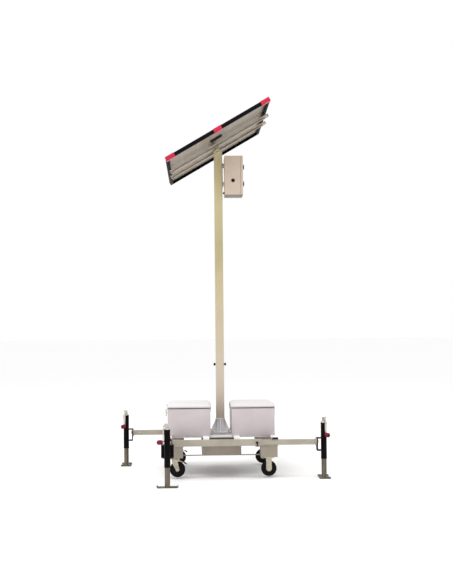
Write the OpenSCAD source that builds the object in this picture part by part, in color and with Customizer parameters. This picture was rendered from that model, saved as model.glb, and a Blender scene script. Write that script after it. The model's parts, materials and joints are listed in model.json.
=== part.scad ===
/* [Base] */
// Distance of each outrigger centre line from the mast axis
arm_off = 515; // [505:5:530]
// Height of the outrigger centre lines above the ground
arm_z = 346; // [330:2:360]
// Width of the square outrigger sleeves
sleeve_w = 60; // [60:2:66]
// Width of the square sliding arms
arm_w = 50; // [44:2:50]
// Height of the flat tubes of the deck frame
deck_h = 20; // [16:2:24]
// Side of the square blocks over the casters
block_w = 175; // [165:5:185]

/* [Jacks] */
// Distance of each jack axis from the mast, along its arm
jack_x = 990; // [980:10:1080]
// Outer diameter of the jack tubes
jack_d = 57; // [56:1:60]
// Outer diameter of the jack legs
leg_d = 50; // [44:1:50]
// Length of the foot plates
foot_l = 200; // [180:5:210]
// Direction of the folded cranks, from the arm's outward direction
crank_az = 68; // [50:1:90]

/* [Casters] */
// Diameter of the wheels
wheel_d = 150; // [140:5:150]
// Width of the tyres
wheel_w = 42; // [36:2:44]
// Height of the wheel centres above the ground
wheel_z = 88; // [86:1:92]
// Trail of the swivel casters
trail = 27; // [22:1:30]

/* [Boxes] */
// Width of each battery box
box_w = 422; // [410:2:426]
// Length of each battery box
box_l = 651; // [600:1:680]
// Clear gap between the two boxes
box_gap = 210; // [208:2:220]
// Height of a box from the deck to its seal
box_h = 266; // [250:2:280]
// Height of a lid
lid_h = 30; // [26:1:36]

/* [Mast] */
// Width of the square mast tube
mast_w = 84; // [80:2:86]
// Height of the mast's lower end
mast_z0 = 541; // [540:1:550]
// Height of the mast's upper end
mast_z1 = 3240; // [2800:10:3240]
// Height of the clamp knobs
knob_z = 1084; // [1000:4:1120]

/* [Enclosure] */
// Height of the control enclosure
enc_h = 396; // [380:2:400]
// Width of the control enclosure
enc_w = 280; // [260:2:300]
// Depth of the enclosure without its door
enc_d = 160; // [140:2:170]

/* [Panel] */
// Length of the panel along its slope
pan_l = 1134; // [1000:2:1140]
// Width of the panel across the slope
pan_w = 1722; // [1650:2:1760]
// Depth of the panel frame
pan_d = 35; // [30:1:40]
// Slope of the panel at rest, in degrees
tilt = 30.2; // [0:0.1:40]
// Distance of each mounting rail from the mast axis
rail_y = 190; // [150:5:300]

/* [Hidden] */
sides = ["front_right", "rear_right", "rear_left", "front_left"];
per_corner = ["arm", "jack_tube", "jack_leg", "crank_head", "crank_handle"];

$fn = 64;
e = 1;                                  // overshoot of a cutter past a face
fit = 0.05;                             // radial clearance of a running pin

// colours
cream = "#c8be9a";
paint = "#bdb5a3";
white = "#e4e2e0";
box_grey = "#cfc8c5";
black = "#1a1518";
zinc = "#a8a294";
bright = "#cfc9be";
red = "#c0143c";

// outriggers: sleeve and arm walls, ends along the arm
sleeve_wall = 4;
arm_wall = 3;
sleeve_x0 = -478;
sleeve_x1 = 385;
arm_x0 = -60;
plate_t = 8;
plate_r = 42;
arm_x1 = jack_x - 79;                   // arm end, under the mount plate
pin_x = 340;                            // locking pin beside the sleeve mouth
hole_x = jack_x - 143;                  // spare pin hole near the jack
pin_r = 6;

// layers of the base
sleeve_top = arm_z + sleeve_w / 2;
sleeve_bot = arm_z - sleeve_w / 2;
deck_top = sleeve_top + deck_h;
block_bot = 205;
block_in = arm_off + sleeve_w / 2 - block_w;
block_c = block_in + block_w / 2;       // centre of a block, and of its caster

// jack
bore_r = jack_d / 2 - 3;
tube_z0 = 182;
tube_z1 = 530;
leg_top = 380;
web_x = arm_x1 + plate_t + 2;           // back of the jack's bracket
web_t = 6;
bracket_z = [262, 386];
bracket_w = 118;
pivot_r = 8;
eye = [12, 573];                        // crank hinge: outward, up
grip_z = 415;

// casters
plate_z = block_bot - 6;
fork_in = wheel_w / 2 + 3.5;
fork_t = 5;
axle_r = 6;
pedal_at = [38, 174];                   // brake pedal hinge from the kingpin axis
pedal_r = 4;

// boxes
box_in = box_gap / 2;
box_y0 = -348;
seal_z = deck_top + box_h;
seal_h = 8;
lid_z = seal_z + seal_h;
lid_lip = 3;                            // a lid's overhang past the walls
hinge_x = box_in - 6;
hinge_z = lid_z - 2;
hinge_r = 2.5;
hinge_y = [-200, 150];
latch_y = -20;
latch_z = 599;

// mast and post
mast_wall = 4;
post_w = mast_w - 2 * mast_wall - 2;
post_top = 1700;
foot_plate = 10;
knob_r = 15;
stud_r = 4;

// enclosure
enc_x = mast_w / 2 + 20;
enc_z = 2802;
enc_wall = 3;
door_t = 24;
door_x = enc_x + enc_d + 2;
door_hinge = [door_x - 1, enc_w / 2 + 6];
lock_y = -115;
lock_z = [2913, 3083];

// panel, in its own frame: origin on the tilt bolt, +X up the slope
pivot_z = mast_z1 + 10;
bolt_r = 6;
pan_c = 24;                             // panel centre up the slope from the bolt
pan_top = 100;                          // top face over the bolt
pan_wall = 11;
rail_h = 30;
rail_w = 40;
frame_bot = pan_top - pan_d;
rail_bot = frame_bot - rail_h;

// one of the four corners: 0 front right, 1 rear right, 2 rear left, 3 front left
module corner(k) rotate([0, 0, 90 * k]) children();

// square or flat tube along +X, centred on its axis
module tube(len, w, h, wall) {
    difference() {
        translate([0, -w / 2, -h / 2]) cube([len, w, h]);
        translate([-e, -w / 2 + wall, -h / 2 + wall])
            cube([len + 2 * e, w - 2 * wall, h - 2 * wall]);
    }
}

// cylinder along +X, and along +Y
module rod_x(x, r, len) translate([x, 0, 0]) rotate([0, 90, 0]) cylinder(r = r, h = len);
module rod_y(r, len) rotate([90, 0, 0]) cylinder(r = r, h = len, center = true);

// box between two corners
module block(a, b) translate(a) cube(b - a);

// a profile drawn in X and Z, extruded across Y about y = 0
module slab_y(w) rotate([90, 0, 0]) linear_extrude(height = w, center = true) children();

// ---- base ----

module sleeves() color(paint) for (k = [0:3]) corner(k)
    translate([0, -arm_off, arm_z]) difference() {
        translate([sleeve_x0, 0, 0]) tube(sleeve_x1 - sleeve_x0, sleeve_w, sleeve_w, sleeve_wall);
        translate([pin_x, -sleeve_w / 2, 0]) rod_y(pin_r + fit, 3 * sleeve_wall);
    }

// flat bar with closed ends, shrunk by a wall for its hollow
module flat_bar(a, b, shrink) block(a + shrink * [1, 1, 1], b - shrink * [1, 1, 1]);

module deck_bars(shrink) {
    inner = arm_off - 30;
    for (x = [-150, 150])
        flat_bar([x - 30, -arm_off, sleeve_top], [x + 30, arm_off, deck_top], shrink);
    for (y = [-300, -70, 70, 300])
        flat_bar([-inner, y - 30, sleeve_top], [inner, y + 30, deck_top], shrink);
}

module deck_frame() color(white) {
    span = 2 * (arm_off + sleeve_w / 2);
    for (x = [-arm_off, arm_off])
        translate([x, -span / 2, sleeve_top + deck_h / 2]) rotate([0, 0, 90]) tube(span, sleeve_w, deck_h, 2);
    difference() {
        deck_bars(0);
        deck_bars(2);
        for (x = [-80, 80], y = [-80, 80])
            translate([x, y, sleeve_top - e]) cylinder(r = pin_r + fit, h = deck_h + 2 * e);
    }
}

module end_plugs() color(black) {
    for (k = [0:3]) corner(k) translate([sleeve_x0, -arm_off, arm_z]) {
        block([-3, -sleeve_w / 2, -sleeve_w / 2], [0, sleeve_w / 2, sleeve_w / 2]);
        block([0, -25.8, -25.8], [14, 25.8, 25.8]);
    }
    for (x = [-arm_off, arm_off], s = [-1, 1])
        translate([x, s * (arm_off + sleeve_w / 2), sleeve_top + deck_h / 2]) rotate([0, 0, 90 * s]) {
            block([0, -sleeve_w / 2, -deck_h / 2], [3, sleeve_w / 2, deck_h / 2]);
            block([-14, -sleeve_w / 2 + 2.2, -deck_h / 2 + 2.2], [0, sleeve_w / 2 - 2.2, deck_h / 2 - 2.2]);
        }
}

module caster_blocks() color(paint) for (k = [0:3]) corner(k) translate([block_c, -block_c, 0])
    difference() {
        union() {
            block([-block_w / 2, -block_w / 2, sleeve_bot - 8], [block_w / 2, block_w / 2, sleeve_bot]);
            block([-block_w / 2 + 6, -block_w / 2 + 6, block_bot], [block_w / 2 - 6, block_w / 2 - 6, sleeve_bot - 8]);
        }
        block([-block_w / 2 + 11, -block_w / 2 + 11, block_bot + 5],
              [block_w / 2 - 11, block_w / 2 - 11, sleeve_bot - 8]);
        for (x = [-38, 38], y = [-38, 38])
            translate([x, y, block_bot - e]) cylinder(r = 5, h = 5 + 2 * e);
        translate([0, 0, block_bot - e]) cylinder(r = 12, h = 5 + 2 * e);
    }

// folded tray on two flat bars that tie the front and the rear blocks
module underslung_tray() color(paint) {
    bar_z = block_bot + 8;
    tray_z = bar_z + 8;
    tray_w = 385;
    tray_l = 860;
    for (s = [-1, 1])
        block([-block_in - 6, s * 420 - 15, bar_z], [block_in + 6, s * 420 + 15, tray_z]);
    difference() {
        block([-tray_w / 2, -tray_l / 2, tray_z], [tray_w / 2, tray_l / 2, sleeve_bot - 2]);
        block([-tray_w / 2 + 3, -tray_l / 2 + 3, tray_z + 3], [tray_w / 2 - 3, tray_l / 2 - 3, sleeve_bot]);
    }
}

module mast_foot() color(white) {
    foot = 105;
    gusset_top = mast_z0 - 13;
    collar = mast_w / 2 + 6;
    difference() {
        translate([-foot, -foot, deck_top]) cube([2 * foot, 2 * foot, foot_plate]);
        for (x = [-80, 80], y = [-80, 80])
            translate([x, y, deck_top - e]) cylinder(r = pin_r + fit, h = foot_plate + 2 * e);
    }
    for (k = [0:3]) corner(k) slab_y(8)
        polygon([[post_w / 2, deck_top + foot_plate - 1], [foot - 10, deck_top + foot_plate - 1],
                 [foot - 10, deck_top + foot_plate + 12], [mast_w / 2 + 4, gusset_top], [post_w / 2, gusset_top]]);
    difference() {
        block([-collar, -collar, gusset_top], [collar, collar, mast_z0 - 1]);
        block([-post_w / 2, -post_w / 2, gusset_top - e], [post_w / 2, post_w / 2, mast_z0 + e]);
    }
}

// the inner tube that the mast slides up on
module mast_post() color(white) translate([0, 0, deck_top + foot_plate]) rotate([0, -90, 0])
    tube(post_top - deck_top - foot_plate, post_w, post_w, 4);

// spring pins beside the sleeve mouths, each with a drop T-grip
module arm_pins() color(black) for (k = [0:3]) corner(k)
    translate([pin_x, -arm_off - sleeve_w / 2, arm_z]) {
        translate([0, sleeve_wall / 2, 0]) rod_y(pin_r, sleeve_wall);
        translate([0, -7, 0]) rod_y(11, 14);
        translate([0, -20, 0]) rod_y(5, 12);
        translate([0, -28, -24]) cylinder(r = 5, h = 34);
        translate([0, -28, -30]) rotate([0, 90, 0]) cylinder(r = 5, h = 40, center = true);
    }

module battery_boxes() color(box_grey) for (s = [0, 1]) mirror([s, 0, 0]) {
    wall = 2;
    translate([box_in, box_y0, deck_top]) difference() {
        cube([box_w, box_l, box_h]);
        translate([wall, wall, wall]) cube([box_w - 2 * wall, box_l - 2 * wall, box_h]);
    }
    // hinge knuckles with their pins on the mast side
    for (y = hinge_y) translate([hinge_x, y, hinge_z]) {
        rod_y(hinge_r, 130);
        for (t = [-1, 1]) translate([0, t * 48, 0]) {
            rod_y(5, 34);
            block([0, -17, -40], [6, 17, 0]);
        }
    }
}

module box_seals() color(black) for (s = [0, 1]) mirror([s, 0, 0])
    translate([box_in, box_y0, seal_z]) difference() {
        cube([box_w, box_l, seal_h]);
        translate([10, 10, -e]) cube([box_w - 20, box_l - 20, seal_h + 2 * e]);
    }

module batteries() color(black) for (s = [0, 1]) mirror([s, 0, 0])
    translate([box_in + 40, -260, deck_top + 2]) {
        cube([173, 330, 220]);
        for (y = [45, 285]) translate([86, y, 220]) cylinder(r = 9, h = 14);
    }

// top plates of all four casters, the right-hand ones with their fixed forks
module caster_mounts() color(zinc) for (x = [-1, 1], y = [-1, 1])
    translate([x * block_c, y * block_c, 0]) {
        difference() {
            translate([-52, -52, plate_z]) cube([104, 104, 6]);
            for (i = [-38, 38], j = [-38, 38])
                translate([i, j, plate_z - e]) cylinder(r = 5, h = 6 + 2 * e);
            if (x < 0) translate([0, 0, plate_z - e]) cylinder(r = axle_r + fit, h = 6 + 2 * e);
        }
        if (x > 0) {
            for (t = [-1, 1]) translate([0, t * (fork_in + fork_t / 2), 0]) slab_y(fork_t) {
                translate([-26.5, wheel_z]) square([53, plate_z - wheel_z]);
                translate([0, wheel_z]) circle(r = 26.5);
            }
            translate([0, 0, wheel_z]) rod_y(axle_r, 2 * (fork_in + fork_t));
            for (t = [-1, 1]) translate([0, t * (fork_in + fork_t + 3), wheel_z]) rod_y(10, 6);
        }
    }

// hexagon bolts of the mast foot and of the caster plates
module base_bolts() color(zinc) {
    for (x = [-80, 80], y = [-80, 80]) translate([x, y, deck_top + 10]) {
        cylinder(r = 11, h = 8, $fn = 6);
        translate([0, 0, -deck_h - 10]) cylinder(r = pin_r, h = deck_h + 10);
    }
    for (x = [-1, 1], y = [-1, 1], i = [-38, 38], j = [-38, 38])
        translate([x * block_c + i, y * block_c + j, plate_z - 6]) {
            cylinder(r = 8, h = 6, $fn = 6);
            cylinder(r = 4.9, h = 30);
        }
}

// ---- outriggers and jacks ----

module arm(k) color(paint) corner(k) translate([0, -arm_off, arm_z]) {
    difference() {
        translate([arm_x0, 0, 0]) tube(arm_x1 - arm_x0, arm_w, arm_w, arm_wall);
        for (x = [pin_x, hole_x]) translate([x, 0, 0]) rod_y(pin_r + 0.5, arm_w + 2 * e);
    }
    rod_x(arm_x1, plate_r, plate_t);
    rod_x(arm_x1 + plate_t, pivot_r, 10);
    translate([web_x + web_t + 2, 0, 0]) rotate([0, 90, 0]) cylinder(r = 13, h = 8, $fn = 6);
}

module jack_tube(k) color(black) corner(k) translate([0, -arm_off, 0]) {
    difference() {
        union() {
            translate([jack_x, 0, tube_z0]) cylinder(r = jack_d / 2, h = tube_z1 - tube_z0);
            for (z = [bracket_z[0], bracket_z[1] - web_t]) translate([0, 0, z])
                linear_extrude(height = web_t)
                    polygon([[web_x, -bracket_w / 2], [web_x + 12, -bracket_w / 2], [jack_x, -jack_d / 2],
                             [jack_x, jack_d / 2], [web_x + 12, bracket_w / 2], [web_x, bracket_w / 2]]);
            translate([web_x, -bracket_w / 2, bracket_z[0]])
                cube([web_t, bracket_w, bracket_z[1] - bracket_z[0]]);
        }
        translate([jack_x, 0, tube_z0 - e]) cylinder(r = bore_r, h = tube_z1 - tube_z0 + 2 * e);
        translate([0, 0, arm_z]) rod_x(web_x - e, pivot_r + fit, web_t + 2 * e);
    }
}

module jack_leg(k) color(zinc) corner(k) translate([jack_x, -arm_off, 0]) {
    plate = 4;
    half = foot_l / 2;
    difference() {
        translate([0, 0, plate - 1]) cylinder(r = leg_d / 2, h = leg_top - plate + 1);
        translate([0, 0, plate]) cylinder(r = leg_d / 2 - 4, h = leg_top);
    }
    rotate([0, 0, 90]) slab_y(107)
        polygon([[-half, 14], [12 - half, 0], [half - 12, 0], [half, 14], [half - 3, 17], [half - 14, plate],
                 [14 - half, plate], [3 - half, 17]]);
}

// crank frame at a jack's top: +X points to the folded crank
module crank_frame(k) corner(k) translate([jack_x, -arm_off, 0])
    rotate([0, 0, (k == 2 ? 1 : -1) * crank_az]) children();

module crank_head(k) color(zinc) crank_frame(k) {
    ear_in = 8.5;
    translate([0, 0, tube_z1 + 0.5]) cylinder(r = jack_d / 2 - 1.5, h = 11.5);
    translate([0, 0, tube_z1 + 12]) cylinder(r = 15, h = 14);
    for (t = [-1, 1]) translate([0, t * (ear_in + 2.75), 0]) slab_y(5.5) {
        translate([-4, tube_z1 + 20]) square([26, eye[1] - tube_z1 - 20]);
        translate([eye[0] - 3, eye[1]]) circle(r = 13);
    }
    translate([eye[0], 0, eye[1]]) rod_y(4, 32);
}

module crank_handle(k) color(bright) crank_frame(k) {
    half = 3;
    elbow = [36, 562];
    foot = [42, grip_z - 12];
    difference() {
        slab_y(16) {
            translate(eye) circle(r = 8.5);
            polygon([eye + [0, half], elbow + [2, half], foot + [half, 0], foot - [half, 0],
                     elbow - [half, half], eye - [0, half]]);
        }
        translate([eye[0], 0, eye[1]]) rod_y(4 + fit, 20);
    }
    // stout grip on the arm's end
    translate([foot[0] + half - 1, 0, grip_z]) rotate([0, 90, 0]) rotate_extrude()
        polygon([[0, 0], [12, 0], [12, 3], [19, 6], [22, 14], [22, 40], [19, 48], [12, 53], [8, 53],
                 [8, 58], [0, 58]]);
}

// ---- boxes ----

module box_lid(s) color(white) mirror([s, 0, 0]) {
    x0 = box_in - lid_lip;
    x1 = box_in + box_w + lid_lip;
    y0 = box_y0 - lid_lip;
    y1 = box_y0 + box_l + lid_lip;
    rim = 14;                           // straight part of the edge, under the bevel
    bevel = 34;
    skin = 2.5;
    difference() {
        intersection() {
            translate([0, (y0 + y1) / 2, 0]) slab_y(y1 - y0)
                polygon([[x0, lid_z], [x1, lid_z], [x1, lid_z + rim], [x1 - bevel, lid_z + lid_h],
                         [x0 + bevel, lid_z + lid_h], [x0, lid_z + rim]]);
            translate([(x0 + x1) / 2, 0, 0]) rotate([0, 0, 90]) slab_y(x1 - x0)
                polygon([[y0, lid_z], [y1, lid_z], [y1, lid_z + rim], [y1 - bevel, lid_z + lid_h],
                         [y0 + bevel, lid_z + lid_h], [y0, lid_z + rim]]);
        }
        block([box_in + 10, box_y0 + 10, lid_z - e], [box_in + box_w - 10, box_y0 + box_l - 10, lid_z + rim - skin]);
        // room for the box's own knuckles
        for (y = hinge_y) translate([hinge_x, y, hinge_z]) rod_y(6, 138);
    }
    // hinge knuckles on the mast side, and the hasp on the far side
    for (y = hinge_y) translate([hinge_x, y, hinge_z]) difference() {
        union() {
            rod_y(5, 58);
            block([0, -29, 2.5], [4, 29, 14]);
        }
        rod_y(hinge_r + fit, 62);
    }
    block([x1 - 1, latch_y - 14, lid_z + 3], [x1 + 3, latch_y + 14, lid_z + 12]);
    block([x1 + 3, latch_y - 14, lid_z - 4], [x1 + 15, latch_y + 14, lid_z + 12]);
}

module lid_latch(s) color(zinc) mirror([s, 0, 0]) translate([box_in + box_w, latch_y, latch_z]) {
    rod_x(0.2, 18, 4);
    rod_x(4, 6, 18);
    block([17, -5.5, -37], [28, 5.5, 37]);
}

// ---- casters ----

// left-hand caster frame: origin under the kingpin, +X along the trail
module swivel_frame(y) translate([-block_c, y * block_c, 0]) children();

module caster_fork(y) color(bright) swivel_frame(y) {
    crown_z = 183;
    translate([0, 0, crown_z]) cylinder(r = axle_r, h = 24);
    translate([0, 0, crown_z]) cylinder(r = 30, h = plate_z - 1 - crown_z);
    block([-30, -fork_in - fork_t, crown_z], [46, fork_in + fork_t, crown_z + 6]);
    for (t = [-1, 1]) translate([0, t * (fork_in + fork_t / 2), 0]) slab_y(fork_t) {
        polygon([[-30, crown_z + 6], [46, crown_z + 6], [46, 168], [28, 164], [trail + 18, wheel_z],
                 [trail - 18, wheel_z], [-24, 150]]);
        translate([trail, wheel_z]) circle(r = 18);
    }
    translate([trail, 0, wheel_z]) rod_y(axle_r, 2 * (fork_in + fork_t));
    for (t = [-1, 1]) translate([trail, t * (fork_in + fork_t + 3), wheel_z]) rod_y(10, 6);
    translate([pedal_at[0], 0, pedal_at[1]]) rod_y(pedal_r, 2 * (fork_in + 1));
}

module brake_pedal(y) color(bright) swivel_frame(y) difference() {
    union() {
        translate([pedal_at[0], 0, pedal_at[1]]) rod_y(7, 2 * fork_in - 3);
        slab_y(38)
            polygon([[pedal_at[0], pedal_at[1] - 3], [90, 150], [112, 137], [114, 141], [92, 155],
                     [pedal_at[0] + 2, pedal_at[1] + 2]]);
    }
    translate([pedal_at[0], 0, pedal_at[1]]) rod_y(pedal_r + fit, 2 * fork_in);
}

module wheel(k) {
    side = [1, 1, -1, -1][k];
    end = [-1, 1, 1, -1][k];
    r = wheel_d / 2;
    h = wheel_w / 2;
    hub = fork_in - 1;
    color(black) translate([side * block_c + (side < 0 ? trail : 0), end * block_c, wheel_z])
        rotate([90, 0, 0]) rotate_extrude($fn = 96)
            polygon([[axle_r + fit, -hub], [20, -hub], [22, -12], [50, -9], [54, -h + 3], [r - 8, -h],
                     [r - 2, -h + 5], [r, -8], [r, 8], [r - 2, h - 5], [r - 8, h], [54, h - 3], [50, 9],
                     [22, 12], [20, hub], [axle_r + fit, hub]]);
}

// ---- mast ----

module mast_tube() color(cream) difference() {
    translate([0, 0, mast_z0]) rotate([0, -90, 0]) tube(mast_z1 - mast_z0, mast_w, mast_w, mast_wall);
    translate([0, 0, knob_z]) rod_x(-mast_w, stud_r + fit, 2 * mast_w);
}

module mast_knob(s) color(black) mirror([s, 0, 0]) translate([mast_w / 2, 0, knob_z])
    rotate([0, 90, 0]) difference() {
        rotate_extrude()
            polygon([[0, 0.5 - mast_wall], [stud_r, 0.5 - mast_wall], [stud_r, 0.2], [9, 0.2], [9, 6],
                     [knob_r, 8], [knob_r, 19], [knob_r - 3, 22], [0, 22]]);
        for (i = [0:5]) rotate([0, 0, 60 * i]) translate([knob_r + 2.5, 0, 7]) cylinder(r = 4.5, h = 16);
    }

// head plug in the mast's top: neck and two ears for the tilt bolt
module mast_head() color(white) {
    neck = 32;
    block([-mast_w / 2 + mast_wall, -mast_w / 2 + mast_wall, mast_z1 - 90],
          [mast_w / 2 - mast_wall, mast_w / 2 - mast_wall, mast_z1 - 50]);
    for (t = [-1, 1]) difference() {
        translate([0, t * (neck - 3.5), 0]) slab_y(7)
            polygon([[-neck, mast_z1 - 51], [neck, mast_z1 - 51], [neck, pivot_z], [neck - 10, pivot_z + 25],
                     [10 - neck, pivot_z + 25], [-neck, pivot_z]]);
        translate([0, 0, pivot_z]) rod_y(bolt_r + fit, 3 * neck);
    }
    translate([0, 0, pivot_z]) rod_y(bolt_r, 2 * neck + 16);
    for (t = [-1, 1]) translate([0, t * (neck + 4), pivot_z]) rotate([90, 0, 0])
        cylinder(r = 11, h = 8, center = true, $fn = 6);
}

// ---- enclosure ----

module enclosure_bracket() color(zinc) {
    x = mast_w / 2;
    block([x, -25, enc_z + 78], [x + 4, 25, enc_z + 338]);
    for (z = [enc_z + 103, enc_z + 292]) block([x + 4, -30, z], [enc_x, 30, z + 40]);
}

module enclosure_body() color(box_grey) {
    difference() {
        block([enc_x, -enc_w / 2, enc_z], [enc_x + enc_d, enc_w / 2, enc_z + enc_h]);
        block([enc_x + enc_wall, -enc_w / 2 + enc_wall, enc_z + enc_wall],
              [enc_x + enc_d + e, enc_w / 2 - enc_wall, enc_z + enc_h - enc_wall]);
    }
    for (z = [enc_z + 90, enc_z + enc_h - 90]) translate([door_hinge[0], door_hinge[1], z]) {
        cylinder(r = 3, h = 52, center = true);
        translate([0, 0, -13]) cylinder(r = 5, h = 24, center = true);
        block([-14, -6, -25], [-1, 0, -1]);
    }
}

module enclosure_door() color(box_grey) {
    skin = 3;
    difference() {
        block([door_x, -enc_w / 2, enc_z], [door_x + door_t, enc_w / 2, enc_z + enc_h]);
        block([door_x - e, -enc_w / 2 + skin, enc_z + skin],
              [door_x + door_t - skin, enc_w / 2 - skin, enc_z + enc_h - skin]);
        for (z = lock_z) translate([0, lock_y, z]) rod_x(door_x, 5 + fit, door_t + e);
    }
    for (z = [enc_z + 90, enc_z + enc_h - 90]) translate([door_hinge[0], door_hinge[1], z]) difference() {
        union() {
            translate([0, 0, 13]) cylinder(r = 5, h = 24, center = true);
            block([1, -6.5, 1], [14, 0, 25]);
        }
        cylinder(r = 3 + fit, h = 60, center = true);
    }
}

module door_lock(i) color(black) translate([0, lock_y, lock_z[i]]) {
    rod_x(door_x + 8, 5, door_t - 6);
    rod_x(door_x + door_t + 0.2, 12, 4);
    block([door_x + door_t + 4, -7, -25], [door_x + door_t + 12, 7, 25]);
    block([door_x + 8, -6, -5], [door_x + 12, 5, 20]);
}

module enclosure_glands() color(black) {
    translate([0, -50, enc_z + 26]) {
        rod_x(enc_x - 16, 9, 6);
        rod_x(enc_x - 10, 12, 10);
    }
    translate([enc_x + 85, -enc_w / 2, enc_z + 144]) {
        translate([0, -2, 0]) rod_y(18, 4);
        translate([0, -6, 0]) rod_y(13, 4);
    }
}

module charge_controller() color(black) {
    block([enc_x + enc_wall, -100, enc_z + 20], [enc_x + enc_wall + 3, 100, enc_z + 376]);
    block([enc_x + enc_wall + 3, -70, enc_z + 150], [enc_x + 60, 70, enc_z + 330]);
    block([enc_x + enc_wall + 3, -80, enc_z + 50], [enc_x + 40, 80, enc_z + 95]);
}

// ---- panel ----

module on_slope() translate([0, 0, pivot_z]) rotate([0, -tilt, 0]) children();

module panel_ring(inset, wall, z0, z1) difference() {
    a = [pan_c - pan_l / 2 + inset, inset - pan_w / 2, z0];
    b = [pan_c + pan_l / 2 - inset, pan_w / 2 - inset, z1];
    block(a, b);
    block(a + [wall, wall, -e], b + [-wall, -wall, e]);
}

module panel_frame() color(black) on_slope() {
    panel_ring(0, pan_wall, frame_bot, pan_top);
    panel_ring(0, 30, frame_bot, frame_bot + 2);
}

module panel_laminate() color("#8f8a84") on_slope()
    block([pan_c - pan_l / 2 + pan_wall, pan_wall - pan_w / 2, pan_top - 7],
          [pan_c + pan_l / 2 - pan_wall, pan_w / 2 - pan_wall, pan_top - 2]);

module panel_rails() color(bright) on_slope() {
    low = pan_c - pan_l / 2 + 7;
    high = pan_c + pan_l / 2 + 18;
    lug = 24;
    for (s = [-1, 1]) {
        block([low, s * rail_y - rail_w / 2, rail_bot], [high, s * rail_y + rail_w / 2, frame_bot]);
        difference() {
            translate([0, s * 21, 0]) slab_y(6) {
                translate([-lug, 0]) square([2 * lug, rail_bot + 2]);
                circle(r = lug);
            }
            rod_y(bolt_r + fit, 60);
        }
    }
    block([-28, -rail_y, rail_bot], [28, rail_y, frame_bot - 2]);
}

// folded guards over the near edge: one at each end and one in the middle
module panel_guards() color(red) on_slope() {
    t = 3;
    low = pan_c - pan_l / 2;
    high = pan_c + pan_l / 2;
    near = -pan_w / 2;
    for (span = [[low - t, low + 92], [pan_c - 45, pan_c + 40], [high - 92, high + t]]) {
        block([span[0], near - t, frame_bot - t], [span[1], near, pan_top + t]);
        block([span[0], near - t, pan_top], [span[1], near + 36, pan_top + t]);
        block([span[0], near - t, frame_bot - t], [span[1], near + 60, frame_bot]);
    }
    for (x = [low - t, high]) block([x, near - t, frame_bot - t], [x + t, near + 60, pan_top + t]);
}

module junction_box() color(black) on_slope() {
    block([pan_c - 75, -400, pan_top - 31], [pan_c + 65, -310, pan_top - 7]);
    for (x = [pan_c - 40, pan_c + 30]) translate([x, -310, pan_top - 20]) rod_y(6, 30);
}

sleeves();
deck_frame();
end_plugs();
caster_blocks();
underslung_tray();
mast_foot();
mast_post();
arm_pins();
battery_boxes();
box_seals();
batteries();
caster_mounts();
base_bolts();
for (k = [0:3]) {
    arm(k);
    jack_tube(k);
    jack_leg(k);
    crank_head(k);
    crank_handle(k);
    wheel(k);
}
box_lid(0);  // box_lid_right
box_lid(1);  // box_lid_left
lid_latch(0);  // lid_latch_right
lid_latch(1);  // lid_latch_left
caster_fork(-1);  // caster_fork_front
caster_fork(1);  // caster_fork_rear
brake_pedal(-1);  // brake_pedal_front
brake_pedal(1);  // brake_pedal_rear
mast_tube();
mast_knob(0);  // mast_knob_right
mast_knob(1);  // mast_knob_left
mast_head();
enclosure_bracket();
enclosure_body();
enclosure_door();
door_lock(0);  // door_lock_lower
door_lock(1);  // door_lock_upper
enclosure_glands();
charge_controller();
panel_frame();
panel_laminate();
panel_rails();
panel_guards();
junction_box();
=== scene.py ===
import json
import math
import bpy
from mathutils import Matrix, Vector


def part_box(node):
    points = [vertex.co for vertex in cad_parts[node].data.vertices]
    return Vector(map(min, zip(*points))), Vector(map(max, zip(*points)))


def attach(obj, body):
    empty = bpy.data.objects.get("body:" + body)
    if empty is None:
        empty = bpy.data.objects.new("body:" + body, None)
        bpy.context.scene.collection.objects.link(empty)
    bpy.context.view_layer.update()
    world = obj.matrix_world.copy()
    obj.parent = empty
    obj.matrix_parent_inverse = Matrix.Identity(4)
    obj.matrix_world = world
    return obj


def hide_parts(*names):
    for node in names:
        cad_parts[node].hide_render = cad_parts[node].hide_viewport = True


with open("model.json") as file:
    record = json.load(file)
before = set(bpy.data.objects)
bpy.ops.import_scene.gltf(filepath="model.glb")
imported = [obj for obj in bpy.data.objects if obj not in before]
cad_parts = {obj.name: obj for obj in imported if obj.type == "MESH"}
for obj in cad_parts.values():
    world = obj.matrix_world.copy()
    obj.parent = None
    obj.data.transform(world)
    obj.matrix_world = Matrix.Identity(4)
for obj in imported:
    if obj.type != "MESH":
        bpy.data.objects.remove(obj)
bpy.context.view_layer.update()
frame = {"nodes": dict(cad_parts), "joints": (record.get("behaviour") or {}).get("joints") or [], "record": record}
nodes = frame["nodes"]
joints = {j["name"]: j for j in frame["joints"]}
sides = ["front_right", "rear_right", "rear_left", "front_left"]  # each a quarter turn on from the last
corners = [(x, y) for x in (-1, 1) for y in (-1, 1)]
mm = 0.001
quarter = math.pi / 2


# camera, floor and light

view = {"at": (-0.2585, -10.3572, 1.5083), "lens": 62.49, "right": 0.0317, "up": 0.0301, "lean": -0.009}
cam = bpy.data.objects.new("camera", bpy.data.cameras.new("camera"))
cam.data.lens = view["lens"]
cam.data.sensor_width = 36
look = Matrix.Rotation(-view["right"], 4, "Z") @ Matrix.Rotation(quarter + view["up"], 4, "X")
cam.matrix_world = Matrix.Translation(view["at"]) @ look @ Matrix.Rotation(view["lean"], 4, "Z")
bpy.context.scene.collection.objects.link(cam)
bpy.context.scene.camera = cam
bpy.context.scene.view_settings.view_transform = "Standard"


def hexToLinear(code):
    channels = [int(code[i:i + 2], 16) / 255 for i in (1, 3, 5)]
    return [c / 12.92 if c <= 0.04045 else ((c + 0.055) / 1.055) ** 2.4 for c in channels] + [1]


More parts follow.
